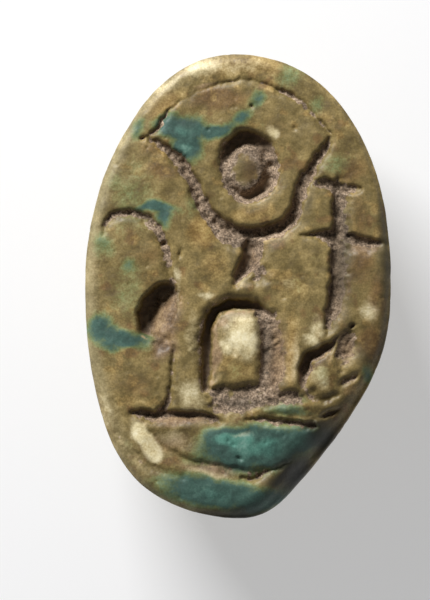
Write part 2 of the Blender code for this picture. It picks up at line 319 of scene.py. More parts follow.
def fan(x, y):
    """The fan: two flaring sides, a cup where they meet over a stem, and a fine arched line on top."""
    left = [(-0.581, 0.641, 0.35), (-0.508, 0.611, 0.6), (-0.429, 0.572, 0.85), (-0.343, 0.520, 1.0)]
    left += [(-0.290, 0.460, 1.0), (-0.251, 0.395, 1.05), (-0.205, 0.335, 1.1), (-0.132, 0.283, 1.1)]
    left += [(-0.033, 0.246, 1.15), (0.06, 0.230, 1.2)]
    foot = [(-0.20, 0.30, 0.7), (-0.12, 0.245, 1.0), (-0.04, 0.205, 1.0), (0.03, 0.18, 0.8)]
    right = [(0.62, 0.64, 0.4), (0.561, 0.585, 0.8), (0.50, 0.53, 1.0), (0.455, 0.473, 1.0)]
    right += [(0.416, 0.417, 1.0), (0.39, 0.361, 1.0), (0.363, 0.305, 0.9)]
    cup = [(0.398, 0.385, 0.7), (0.385, 0.345, 0.95), (0.358, 0.300, 1.1), (0.29, 0.260, 1.2)]
    cup += [(0.185, 0.236, 1.2), (0.06, 0.229, 1.2)]
    stem = [(0.078, 0.225, 0.5), (0.078, 0.19, 1.2), (0.074, 0.14, 1.2), (0.040, 0.09, 1.1)]
    stem += [(-0.01, 0.035, 0.7)]
    top = [(-0.565, 0.658, 0.9), (-0.49, 0.714, 1.0), (-0.425, 0.762, 0.5), (-0.33, 0.811, 0.2)]
    top += [(-0.23, 0.840, 0.3), (-0.16, 0.861, 0.5), (-0.095, 0.878, 0.6), (0.00, 0.886, 0.6)]
    top += [(0.12, 0.878, 0.5), (0.25, 0.850, 1.0), (0.35, 0.820, 1.2), (0.43, 0.789, 0.9)]
    top += [(0.515, 0.730, 0.8), (0.614, 0.654, 0.8)]
    cut = groove(x, y, left, 0.42, 0.33, right=0.16)
    cut = np.maximum(cut, groove(x, y, foot, 0.50, 0.22, right=0.25))
    cut = np.maximum(cut, groove(x, y, right, 0.40, 0.26, left=0.18))
    cut = np.maximum(cut, groove(x, y, cup, 0.42, 0.40, left=0.16))
    cut = np.maximum(cut, groove(x, y, stem, 0.34, 0.50, left=0.40))
    return np.maximum(cut, groove(x, y, top, 0.14, 0.15, right=0.15))


def ring(x, y):
    """The sunk ring round a domed boss: steep at its upper left, worn elsewhere, with a thin ledge outside.

    Its floor lies deepest at the upper left and the lower right, and shallow on the left.
    """
    place = (0.072, 0.513, 1.17, 1.375, 0)
    away = oval_distance(x, y, place)
    toward = np.arctan2(y - place[1] * LENGTH / 2, x - place[0] * WIDTH / 2)
    steep = near(toward, 110.0, 62.0)
    wall = 1 - smooth(0.71 + 0.12 * steep, 1.0 - 0.04 * steep, away)
    ledge = 0.06 * (1 - smooth(0.92, 1.04, away))
    boss = oval_distance(x, y, (0.058, 0.508, 0.66, 0.84, 0))
    floor = 0.44 + 0.32 * steep - 0.27 * near(toward, 190.0, 48.0) + 0.24 * near(toward, -68.0, 50.0)
    return np.maximum(floor * wall, ledge) - (floor - 0.15 - 0.09 * boss**2) * (1 - smooth(0.80, 1.10, boss))


def left_side(x, y):
    """The hooked line, the line down from the leaf and the base line under it."""
    hook = [(-0.885, 0.22, 0.3), (-0.855, 0.275, 0.7), (-0.792, 0.309, 0.9), (-0.693, 0.317, 1.0)]
    hook += [(-0.594, 0.292, 1.0), (-0.521, 0.248, 1.0), (-0.475, 0.192, 1.0), (-0.449, 0.132, 0.9)]
    hook += [(-0.435, 0.07, 0.8), (-0.42, 0.02, 0.8)]
    line = [(-0.415, -0.27, 0.6), (-0.425, -0.34, 0.65), (-0.44, -0.42, 0.55), (-0.452, -0.48, 0.8)]
    line += [(-0.49, -0.535, 1.3), (-0.55, -0.558, 1.2)]
    base = [(-0.66, -0.538, 0.8), (-0.57, -0.546, 1.2), (-0.47, -0.547, 1.3), (-0.36, -0.549, 1.2)]
    base += [(-0.24, -0.556, 1.1), (-0.13, -0.566, 0.9)]
    cut = groove(x, y, hook, 0.28, 0.18, right=0.26)
    cut = np.maximum(cut, groove(x, y, line, 0.22, 0.20, left=0.16))
    return np.maximum(cut, groove(x, y, base, 0.17, 0.28, right=0.30))


def leaf(x, y):
    """The leaf: an oval, deepest along its upper left edge, rising to the lower right, and a shallow foot."""
    place = (-0.515, -0.105, 0.66, 1.10, -24)
    away = oval_distance(x, y, place)
    turn = math.radians(place[4])
    across = (x - place[0] * WIDTH / 2) * math.cos(turn) + (y - place[1] * LENGTH / 2) * math.sin(turn)
    rise = 1 - 0.85 * smooth(-0.42, 0.66, across)
    foot = oval_distance(x, y, (-0.50, -0.23, 0.50, 0.62, -20))
    return np.maximum(0.86 * rise * (1 - smooth(0.82, 1.02, away)), 0.20 * (1 - smooth(0.3, 1.0, foot)))


def arch(x, y):
    """The arched groove round the middle boss, the channel on its right, its foot and the rough floor.

    Each is a groove, and the arch is two: a steep one inside a wide, shallow one.
    """
    bow = [(-0.205, -0.43, 0.8), (-0.21, -0.34, 1.0), (-0.205, -0.24, 1.0), (-0.185, -0.15, 1.0)]
    bow += [(-0.11, -0.092, 1.0), (-0.01, -0.076, 1.0), (0.08, -0.080, 0.9), (0.16, -0.098, 0.7)]
    bow += [(0.22, -0.122, 0.4), (0.27, -0.155, 0.2)]
    channel = [(0.19, -0.14, 0.8), (0.215, -0.25, 1.0), (0.215, -0.35, 1.0), (0.20, -0.43, 0.9)]
    foot = [(0.20, -0.446, 0.8), (0.11, -0.456, 1.0), (0.03, -0.461, 1.0), (-0.06, -0.460, 0.85)]
    foot += [(-0.16, -0.458, 0.75)]
    floor = [(-0.13, -0.503, 0.9), (0.02, -0.502, 0.9), (0.20, -0.490, 0.9), (0.36, -0.475, 0.8)]
    slope = [(0.02, -0.555, 0.4), (0.20, -0.555, 1.0), (0.38, -0.56, 1.0), (0.50, -0.575, 0.6)]
    cut = groove(x, y, bow, 0.32, 0.76, left=0.03, right=0.16)
    cut = np.maximum(cut, groove(x, y, bow, 0.66, 0.17, left=0.12))
    cut = np.maximum(cut, groove(x, y, channel, 0.84, 0.30, left=0.36, right=0.06))
    cut = np.maximum(cut, groove(x, y, foot, 0.56, 0.24, left=0.20, right=0.18))
    cut = np.maximum(cut, groove(x, y, floor, 0.72, 0.22, left=0.04, right=0.34))
    return np.maximum(cut, groove(x, y, slope, 0.10, 0.13, left=0.62, right=0.04))


def staff(x, y):
    """The staff: a steep left wall, a wide gritty slope on its right and two bars across."""
    shaft = [(0.655, 0.43, 0.9), (0.655, 0.31, 1.0), (0.64, 0.11, 1.0), (0.625, -0.03, 1.0)]
    shaft += [(0.60, -0.13, 0.8), (0.585, -0.18, 0.5)]
    upper = [(0.52, 0.450, 0.5), (0.59, 0.440, 0.9), (0.67, 0.420, 1.0), (0.80, 0.42, 0.5)]
    lower = [(0.42, 0.225, 0.3), (0.50, 0.222, 0.6), (0.56, 0.225, 0.9), (0.61, 0.215, 1.2)]
    lower_right = [(0.68, 0.205, 0.6), (0.76, 0.205, 1.1), (0.86, 0.19, 1.0), (0.93, 0.185, 0.6)]
    cut = groove(x, y, shaft, 0.36, 0.34, left=0.46)
    cut = np.maximum(cut, groove(x, y, upper, 0.46, 0.26, right=0.16))
    cut = np.maximum(cut, groove(x, y, lower, 0.40, 0.27, right=0.22))
    return np.maximum(cut, groove(x, y, lower_right, 0.34, 0.26, right=0.36))


def socket(x, y):
    """The small boss in its socket: a deep curve over its upper left and a pocket on its right."""
    bow = [(0.42, -0.42, 0.6), (0.425, -0.36, 0.9), (0.475, -0.305, 1.0), (0.56, -0.272, 0.9)]
    bow += [(0.62, -0.252, 0.6), (0.655, -0.222, 0.3)]
    pocket = [(0.725, -0.220, 0.8), (0.71, -0.26, 0.9), (0.69, -0.31, 0.8), (0.685, -0.36, 0.4)]
    under = [(0.42, -0.42, 0.8), (0.47, -0.47, 1.0), (0.56, -0.50, 0.9), (0.66, -0.47, 0.5)]
    cut = groove(x, y, bow, 0.34, 0.54, right=0.22)
    cut = np.maximum(cut, groove(x, y, pocket, 0.68, 0.22, left=0.30, right=0.12))
    return np.maximum(cut, groove(x, y, under, 0.26, 0.14, left=0.28))


def bowl(x, y):
    """The bowl across the lower end: a step on top, a full belly, a long curve below and a worn left end."""
    top = [(0.05, -0.570, 0.5), (0.20, -0.574, 1.0), (0.36, -0.582, 1.0), (0.50, -0.597, 1.0)]
    curve = [(-0.56, -0.62, 0.4), (-0.47, -0.69, 0.6), (-0.33, -0.745, 0.8), (-0.205, -0.766, 0.9)]
    curve += [(-0.08, -0.780, 0.9), (0.06, -0.794, 1.0), (0.16, -0.79, 1.0)]
    lower = [(0.03, -0.83, 0.7), (0.13, -0.815, 1.0), (0.26, -0.785, 0.6), (0.36, -0.75, 0.2)]
    rim = [(-0.78, -0.63, 0.5), (-0.66, -0.73, 1.0), (-0.53, -0.785, 1.0), (-0.36, -0.82, 0.6)]
    cut = groove(x, y, top, 0.13, 0.26, right=0.22)
    cut = np.maximum(cut, groove(x, y, curve, 0.16, 0.12, right=0.36, left=0.10))
    cut = np.maximum(cut, groove(x, y, lower, 0.16, 0.18, right=0.12, left=0.10))
    cut = np.maximum(cut, groove(x, y, rim, 0.30, 0.07, left=0.1, right=0.1))
    shallow = oval_distance(x, y, (-0.40, -0.655, 1.05, 0.52, -8))
    return np.maximum(cut, 0.04 * (1 - smooth(0.45, 1.0, shallow)))


# Small damage: ovals (u, v, half width, half length, turn, depth)
PITS = (
    (-0.475, 0.185, 0.15, 0.15, 0, 0.44), (-0.33, 0.505, 0.26, 0.14, -35, 0.48),
    (0.145, 0.055, 0.50, 0.56, 14, 0.18), (0.67, 0.42, 0.66, 0.36, 0, 0.20),
    (0.125, 0.135, 0.36, 0.60, 8, 0.19), (0.71, 0.165, 0.60, 0.42, 0, 0.15),
    (0.545, 0.437, 0.36, 0.16, -10, 0.20), (0.67, 0.02, 0.05, 0.24, -35, 0.44),
    (0.50, -0.455, 0.20, 0.26, 30, 0.12), (0.735, -0.40, 0.50, 0.21, 40, 0.15),
    (0.39, 0.345, 0.22, 0.36, 0, 0.36), (0.60, -0.55, 0.46, 0.09, 24, 0.26),
    (-0.62, 0.635, 0.14, 0.07, 0, 0.26), (0.37, 0.68, 0.12, 0.10, 0, 0.07),
    (0.75, -0.17, 0.14, 0.08, 0, 0.24), (0.09, 0.775, 0.12, 0.05, 40, 0.14),
    (0.02, -0.745, 0.16, 0.09, 0, 0.10), (0.225, -0.17, 0.08, 0.10, 30, 0.40),
    (-0.37, 0.135, 0.05, 0.40, 0, 0.10), (-0.53, -0.545, 0.26, 0.10, 38, 0.50),
    (-0.066, -0.153, 0.15, 0.14, 0, 0.07), (-0.18, 0.675, 0.10, 0.05, 20, 0.10),
    (0.31, -0.05, 0.10, 0.04, 40, 0.10), (0.155, -0.125, 0.34, 0.30, 0, 0.30),
)


def carving(x, y):
    """Depth of everything that is cut into the face, before earth and wear."""
    cut = ring(x, y)
    for device in (fan, left_side, leaf, arch, staff, socket, bowl):
        cut = np.maximum(cut, device(x, y))
    for pit in PITS:
        cut = np.maximum(cut, pit[5] * (1 - smooth(0.25, 1.0, oval_distance(x, y, pit))))
    return cut


# Full forms, the two bosses and the bowl's belly: ovals with the fall at the edge, its power and its end
FULL_FORMS = (
    (0.02, -0.265, 0.86, 1.38, 0, 0.08, 2.5, 1.6),
    (0.575, -0.375, 0.64, 0.78, 0, 0.05, 2, 1.6),
    (0.10, -0.70, 2.3, 0.95, 0, 0.05, 2, 1.4),
)


def rim_share(x, y):
    """The angle round the oval, and the distance from the middle as a share of that to the rim."""
    angle = np.arctan2(y / LENGTH, x / WIDTH)
    rim_x, rim_y = oval(angle)
    return angle, np.hypot(x, y) / np.hypot(rim_x, rim_y)


def broad_form(x, y):
    """The face's slow forms: lower towards the rim and at the worn corner, and round each full form.

    A full form falls by a power of the distance from its middle, and the fall fades outside it.
    """
    angle, out = rim_share(x, y)
    low = RIM_FALL * smooth(0.72, 1.0, out)
    low += CORNER_FALL * near(angle, WORN_ANGLE, WORN_SPREAD) * smooth(0.58, 0.92, out)
    for form in FULL_FORMS:
        fall, power, end = form[5:]
        away = oval_distance(x, y, form)
        low += fall * away.clip(0, 1) ** power * (1 - smooth(1.0, end, away))
    return low


# Where the cuts hold no earth: soft ovals (u, v, half width, half length, turn, strength)
CLEANED = (
    (0.055, 0.500, 0.32, 0.42, 0, 1.2), (-0.47, -0.14, 0.50, 0.95, -24, 0.85),
    (-0.03, -0.26, 0.72, 1.10, 0, 1.2), (0.10, -0.69, 1.8, 0.50, 0, 1.0),
    (0.30, -0.545, 0.95, 0.20, -4, 1.1), (-0.45, -0.67, 1.0, 0.42, -8, 0.8),
)


def face_maps():
    """Maps of the face: how far it lies below its plane, and where earth, crevices and pale lips are.

    The carving's edges are rounded by taking, next to each cut, what the cut spreads when it is blurred.
    Earth lies in all but the shallowest cuts. A crevice is where a cut is deeper than its own blur, a
    gorge where that holds for a wide blur too, and a lip is where the blur is deeper than the cut, on the
    side that faces the key light only, so that its pale coat is partly worn stone and partly a painted
    highlight.
    """
    drift_x = sum(reach * grains(size, 11 + step) for step, (reach, size) in enumerate(WANDER))
    drift_y = sum(reach * grains(size, 13 + step) for step, (reach, size) in enumerate(WANDER))
    cut = carving(MAP_X + drift_x, MAP_Y + drift_y)
    bare = patches(MAP_X, MAP_Y, CLEANED).clip(0, 1)
    earth = smooth(0.07, 0.19, cut + 0.035 * grains(0.16, 21)) * (1 - bare)
    lumps = 0.10 * cut.clip(0, 0.4) * grains(0.24, 22) + 0.023 * grains(0.10, 23)
    fall_y, fall_x = np.gradient(soften(cut, 0.20), CELL)
    gentle_side = smooth(0.0, 0.4, fall_y * math.sin(WORN_SIDE) + fall_x * math.cos(WORN_SIDE))
    wide_blur = soften(cut, 0.26)
    worn = np.maximum(cut + earth * lumps, NARROW_SHARE * soften(cut, 0.055))
    worn = np.maximum(worn, WIDE_SHARE * wide_blur * gentle_side)
    waves = sum(height * grains(size, seed) for height, size, seed in WAVES)
    pores = PORE_DEPTH * smooth(2.1, 3.2, grains(0.13, 34))
    depth = soften(worn + pores, 0.022) + waves + broad_form(MAP_X, MAP_Y) + FACE_LOSS
    edge = soften(cut, 0.10) - cut
    crevice = smooth(0.04, 0.15, 0.02 * grains(0.12, 35) - edge) * smooth(0.16, 0.26, cut)
    gorge = smooth(0.06, 0.24, 0.02 * grains(0.16, 37) + cut - wide_blur) * smooth(0.45, 0.60, cut)
    crevice = np.maximum(crevice, 0.8 * gorge)
    # Pale lip on the cut edges that face the key light: partly worn stone, partly a painted highlight of the
    # lit side
    lip_and_highlight = smooth(0.03, 0.13, edge + 0.025 * grains(0.14, 36)) * (1 - earth) * gentle_side
    return {"depth": depth.clip(0), "earth": earth, "crevice": crevice, "lip_and_highlight": lip_and_highlight}


# Finish of the face: soft ovals (u, v, half width, half length, turn, strength). Turquoise is a green
# tinge from strength 0.2, teal from 0.5 and bright from 1.0; the bright teal on the bowl's belly is partly a
# painted highlight.
TURQUOISE = (
    (-0.36, 0.68, 0.80, 0.42, -12, 1.1), (-0.33, 0.60, 0.46, 0.44, 0, 1.1),
    (-0.15, 0.67, 0.80, 0.28, 10, 1.0), (0.03, 0.72, 0.44, 0.26, 38, 0.72),
    (0.12, 0.80, 0.24, 0.36, -10, 0.66), (-0.64, 0.68, 0.24, 0.50, -20, 0.62),
    (-0.54, 0.335, 0.66, 0.22, 2, 0.95), (-0.48, 0.30, 0.30, 0.32, 0, 0.90),
    (-0.88, 0.18, 0.42, 0.60, 0, 0.50), (-0.71, 0.09, 0.34, 0.36, 0, 0.50),
    (-0.90, -0.19, 0.42, 0.50, 0, 0.95), (-0.74, -0.23, 0.85, 0.28, -6, 1.0),
    (-0.83, -0.215, 0.40, 0.36, -20, 0.95), (-0.84, -0.248, 0.56, 0.26, 0, 0.72),
    # The bowl's belly, strong enough for bright teal, which is partly a painted highlight on its upper side
    # that faces the light
    (0.12, -0.695, 1.70, 0.66, 6, 1.3), (0.38, -0.68, 1.0, 0.42, 20, 1.0),
    (-0.01, -0.66, 0.88, 0.36, 0, 1.65), (0.18, -0.675, 0.95, 0.40, 10, 1.35),
    (-0.16, -0.886, 1.66, 0.52, -8, 1.10), (0.15, -0.92, 1.2, 0.40, 10, 1.0),
    (0.32, -0.535, 0.90, 0.24, -6, 0.55), (0.34, 0.90, 0.50, 0.50, -30, 0.46),
    (0.53, 0.79, 0.46, 0.36, -40, 0.42), (0.65, 0.53, 0.7, 0.46, 0, 0.40),
    (0.86, -0.37, 0.26, 0.36, 0, 0.68), (-0.78, 0.45, 0.5, 0.6, 0, 0.40),
    (-0.30, 0.36, 0.4, 0.5, 0, 0.40), (0.40, -0.48, 0.4, 0.3, 0, 0.42),
    (-0.68, 0.38, 0.9, 1.4, 0, 0.37), (-0.72, -0.02, 0.8, 1.2, 0, 0.37),
    (0.01, -0.37, 0.50, 0.40, 0, 0.29), (0.573, -0.377, 0.36, 0.44, 0, 0.42),
)
BARE_STONE = (
    (0.04, -0.205, 0.56, 0.84, -6, 0.95), (0.085, -0.275, 0.36, 0.54, 0, 0.80),
    (-0.06, -0.255, 0.30, 0.34, 0, 0.86), (-0.30, -0.475, 0.52, 0.68, 0, 0.68),
    (-0.645, -0.622, 0.27, 0.38, 24, 1.4), (-0.60, -0.665, 0.26, 0.46, 36, 1.5),
    (-0.545, -0.705, 0.22, 0.38, 48, 1.3), (-0.42, -0.65, 0.80, 0.34, -8, 0.62),
    (0.03, -0.635, 0.60, 0.12, 4, 0.46), (-0.23, 0.94, 0.80, 0.34, 18, 0.80),
    (-0.46, 0.86, 0.70, 0.30, 40, 0.66), (-0.85, -0.53, 0.26, 0.95, 20, 0.60),
    (0.53, -0.17, 0.34, 0.50, 0, 0.66), (0.50, -0.23, 0.40, 0.34, 0, 0.74),
    (0.86, -0.11, 0.46, 0.50, 0, 0.68), (0.24, 0.66, 0.18, 0.28, 30, 0.8),
    (0.385, -0.30, 0.22, 1.2, 0, 0.58), (-0.29, -0.22, 0.30, 1.2, 0, 0.48),
    (0.565, -0.385, 0.40, 0.60, 0, 0.60), (-0.17, -0.800, 0.80, 0.16, -8, 0.78),
    (-0.21, -0.03, 0.34, 0.14, 0, 0.70), (-0.38, 0.05, 0.14, 0.28, 0, 0.66),
    (-0.382, -0.06, 0.10, 0.95, 0, 0.56), (0.02, 0.02, 0.34, 0.26, 0, 0.55),
    (0.51, -0.59, 0.10, 0.12, 0, 1.0), (0.02, 0.95, 1.2, 0.40, 0, 0.52),
    (0.34, 0.01, 0.5, 0.3, 0, 0.45),
)
BROWNED = (
    (-0.13, 0.81, 0.95, 0.36, 5, 0.95), (-0.52, 0.59, 0.62, 0.34, 0, 0.6),
    (-0.48, 0.49, 0.62, 0.34, 0, 0.7), (-0.57, 0.14, 0.60, 0.40, 0, 0.5),
    (-0.67, -0.42, 0.85, 0.62, 0, 0.5), (0.81, 0.11, 0.46, 0.90, 0, 0.8),
    (0.88, -0.24, 0.40, 0.62, 0, 0.9), (0.75, 0.50, 0.60, 0.50, 0, 0.7),
    (0.09, 0.50, 0.44, 0.60, 0, 0.75), (0.14, 0.32, 0.95, 0.34, 8, 0.52),
    (0.25, 0.67, 0.60, 0.50, 0, 0.4), (0.80, 0.30, 0.40, 0.90, 0, 0.6),
    (0.90, -0.05, 0.30, 1.2, 0, 0.7), (-0.48, -0.13, 0.62, 1.0, -24, 1.0),
)
GOLDEN = (
    (-0.23, 0.24, 0.50, 0.60, 0, 0.95), (-0.16, 0.09, 0.75, 0.60, 0, 0.55),
    (-0.86, -0.55, 0.36, 1.0, 20, 0.7), (0.36, -0.27, 0.26, 1.4, 0, 0.8),
    (0.40, 0.00, 0.60, 0.50, 0, 0.5), (-0.50, 0.78, 0.80, 0.40, 40, 0.8),
    (0.02, -0.37, 0.60, 0.40, 0, 0.6), (-0.97, 0.10, 0.20, 2.4, 0, 0.6),
    (0.575, -0.375, 0.50, 0.60, 0, 0.6), (0.02, 0.95, 2.2, 0.40, 0, 0.7),
    (0.60, 0.72, 0.3, 0.5, 30, 0.5), (0.07, 0.305, 0.90, 0.26, 0, 0.55),
)
CLAY = (
    (-0.47, -0.14, 0.42, 0.85, -24, 0.9), (-0.48, -0.26, 0.46, 0.46, -10, 1.0),
    (-0.42, -0.67, 0.95, 0.44, -8, 0.62), (-0.36, -0.579, 1.00, 0.18, 0, 1.0),
    (-0.15, -0.790, 0.95, 0.20, -6, 0.85), (0.27, -0.30, 0.36, 1.30, 0, 0.85),
    (-0.135, -0.29, 0.17, 0.95, 0, 0.85), (0.02, -0.13, 0.50, 0.20, 0, 0.6),
    (0.70, -0.25, 0.40, 0.60, 0, 0.7), (0.54, -0.335, 0.62, 0.13, 40, 0.8),
    (0.375, -0.30, 0.20, 1.3, 0, 0.4), (0.80, 0.155, 0.50, 0.18, 0, 0.9),
    (-0.20, 0.862, 0.60, 0.09, 16, 0.7), (-0.066, -0.155, 0.22, 0.24, 0, 0.7),
    (0.24, 0.20, 0.75, 0.16, 30, 0.5), (0.10, 0.13, 0.30, 0.55, 15, 0.7),
    (0.16, 0.52, 0.16, 0.60, 0, 0.4), (0.44, -0.46, 0.30, 0.26, 0, 0.5),
    (0.72, -0.44, 0.50, 0.30, 40, 0.5), (0.68, 0.04, 0.34, 1.8, 0, 0.62),
)
# Grime and painted shade: a dark coat that is dirt on the field, and painted shade on the lower right slope
# and on the bottom and right rims, which face away from the key light, and in the channel that lies in the
# middle boss's shadow
GRIME_AND_SHADE = (
    (0.58, -0.66, 0.75, 0.75, -30, 0.9), (0.40, -0.82, 0.95, 0.75, -40, 1.0),
    (0.05, -0.99, 2.2, 0.30, 0, 0.9), (0.98, -0.25, 0.34, 1.8, 0, 0.6),
    (0.30, -0.82, 0.75, 0.30, 22, 0.9), (0.475, 0.35, 0.24, 0.7, -12, 0.58),
    (0.42, 0.66, 0.70, 0.70, 0, 0.33), (-0.11, 0.80, 0.70, 0.40, 0, 0.33),
    (-0.70, 0.49, 0.70, 0.70, 0, 0.31), (-0.02, 0.16, 0.26, 0.42, 0, 0.50),
    (0.16, 0.05, 0.40, 0.50, 0, 0.30), (-0.49, -0.27, 0.26, 0.24, 0, 0.40),
    (0.82, -0.30, 0.40, 0.60, 0, 0.58), (-0.68, 0.285, 0.85, 0.16, 0, 0.46),
    (0.97, 0.15, 0.34, 3.2, 0, 0.66), (0.69, 0.10, 0.40, 2.6, 0, 0.62),
    (0.062, 0.50, 0.55, 0.70, 0, 0.54), (0.80, 0.12, 1.1, 3.0, 0, 0.28),
    (0.20, -0.28, 0.28, 1.2, 0, 0.52), (-0.32, 0.71, 0.50, 0.30, 0, 0.46),
    (-0.48, -0.81, 0.60, 0.26, -30, 0.42), (0.02, -0.495, 1.00, 0.26, 0, 0.55),
)


# The bead's mesh

def face_grid():
    """A square of cells bent into a disc.

    Each coordinate, from -1 to 1, is multiplied by the root of one less half the other one's square.
    """
    side_a, side_b = (np.linspace(-1.0, 1.0, cells + 1) for cells in FACE_CELLS)
    a, b = np.meshgrid(side_a, side_b)
    u, v = a * np.sqrt(1 - b * b / 2), b * np.sqrt(1 - a * a / 2)
    return np.hypot(u, v), np.arctan2(v, u)


def halving_strip(fine, coarse):
    """Triangles between a loop and the one under it, which has half as many points."""
    before, middle, after = fine[0::2], fine[1::2], np.roll(fine, -2)[0::2]
    below, next_below = coarse, np.roll(coarse, -1)
    corners = [(before, below, middle), (middle, below, next_below), (middle, next_below, after)]
    return [np.stack(triangle, axis=1) for triangle in corners]


def bead_surface():
    """The face's grid and the back's loops, sewn at the rim: points and faces."""
    radius, angle = face_grid()
    number = np.arange(radius.size).reshape(radius.shape)
    quads = np.stack([number[:-1, :-1], number[:-1, 1:], number[1:, 1:], number[1:, :-1]], axis=-1)
    faces = quads.reshape(-1, 4).tolist()
    points = [face_points(radius, angle).reshape(-1, 3)]
    rim = np.concatenate([number[0, :-1], number[:-1, -1], number[-1, :0:-1], number[:0:-1, 0]])
    rim_angle = angle.ravel()[rim]
    loop, count = rim, radius.size
    for step in range(1, BACK_LOOPS + 1):
        rim_angle = rim_angle[::2] if step <= HALVINGS else rim_angle
        below = count + np.arange(len(rim_angle))
        count += len(rim_angle)
        points.append(back_points(step / (BACK_LOOPS + 1), rim_angle))
        if step <= HALVINGS:
            for triangles in halving_strip(loop, below):
                faces += triangles.tolist()
        else:
            around = [loop, below, np.roll(below, -1), np.roll(loop, -1)]
            faces += np.stack(around, axis=1).tolist()
        loop = below
    points.append(np.zeros((1, 3)))
    faces += np.stack([loop, np.full_like(loop, count), np.roll(loop, -1)], axis=1).tolist()
    return np.vstack(points), faces


def sleeve(loops, around):
    """Four-sided faces of a sleeve: loops with so many points around, each joined to the next one."""
    start = np.arange(loops - 1)[:, None] * around
    here = np.arange(around)
    after = np.roll(here, -1)
    quads = np.stack([start + here, start + around + here, start + around + after, start + after], axis=-1)
    return quads.reshape(-1, 4).tolist()


def mesh_from(name, points, faces):
    """A smooth mesh in metres from points in millimetres."""
    mesh = bpy.data.meshes.new(name)
    mesh.from_pydata(points * MM, [], faces)
    mesh.shade_smooth()
    mesh.update()
    return mesh


def add_object(name, data):
    """An object in the scene, at the origin."""
    thing = bpy.data.objects.new(name, data)
    bpy.context.scene.collection.objects.link(thing)
    return thing


def point_normals(mesh):
    """The way that the surface faces at each point."""
    normals = np.zeros(len(mesh.vertices) * 3, np.float32)
    mesh.vertex_normals.foreach_get("vector", normals)
    return normals.reshape(-1, 3)


def weathered(points, normals, depth):
    """The face carved, and the rim, sides and back worn: everything goes inward from the plain form.

    A point goes in along its normal by noise, as slow wear, pits and chips, and down by the face's map.
    The chips keep below the girdle.
    """
    facing = smooth(0.10, 0.70, normals[:, 2])
    worn = SIDE_WEAR * (1 + noise(points, 0.9, 41, 3)).clip(0)
    worn = worn + SIDE_PITS * smooth(0.3, 0.8, noise(points, 0.16, 43))
    chipped = smooth(0.55, 0.95, noise(points, 1.3, 45, 3)) * (1 - smooth(GIRDLE - 1.2, GIRDLE, points[:, 2]))
    worn += SIDE_CHIPS * chipped
    worn *= (1 - facing) * smooth(0.0, 0.5, points[:, 2])
    points = points - normals * worn[:, None]
    points[:, 2] -= at(depth, points[:, 0], points[:, 1]) * facing
    return points


def bore_cutter(materials):
    """The stringing hole: a round bar along Y that flares where it leaves the stone, with closed ends.

    Its radius grows by the square of an eased ramp towards each end, and by a little noise.
    """
    round_count, along_count = BORE_CELLS
    end = LENGTH / 2 + BORE_OVERRUN
    around = np.linspace(0.0, 2 * math.pi, round_count, endpoint=False)
    along = np.linspace(-end, end, along_count)
    flare = BORE_FLARE * smooth(LENGTH / 2 - BORE_FLARE_REACH, LENGTH / 2, abs(along)) ** 2
    angle, y = (grid.ravel() for grid in np.meshgrid(around, along))
    out = np.stack([np.cos(angle), np.zeros_like(y), np.sin(angle)], axis=1)
    radius = BORE_RADIUS + np.repeat(flare, round_count)
    radius += BORE_UNEVEN * noise(out + np.stack([0 * y, y, 0 * y], axis=1), 0.5, 47, 2)
    points = out * radius[:, None] + np.stack([0 * y, y, 0 * y + BORE_HEIGHT], axis=1)
    first = np.arange(round_count)
    ends = [first.tolist(), (first[::-1] + len(points) - round_count).tolist()]
    faces = sleeve(along_count, round_count) + ends
    mesh = mesh_from("stringing_hole", points, faces)
    for material in materials:
        mesh.materials.append(material)
    mesh.polygons.foreach_set("material_index", np.ones(len(faces), np.int32))
    shape = bmesh.new()
    shape.from_mesh(mesh)
    bmesh.ops.recalc_face_normals(shape, faces=shape.faces)
    shape.to_mesh(mesh)
    shape.free()
    return add_object("stringing_hole", mesh)


def bored(bead, cutter):
    """The bead with the stringing hole cut through it, as a plain mesh again."""
    cut = bead.modifiers.new("stringing_hole", "BOOLEAN")
    cut.operation = "DIFFERENCE"
    cut.solver = "EXACT"
    cut.object = cutter
    bpy.context.view_layer.update()
    evaluated = bead.evaluated_get(bpy.context.evaluated_depsgraph_get())
    bead.data = bpy.data.meshes.new_from_object(evaluated)
    bead.modifiers.clear()
    bpy.data.objects.remove(cutter)


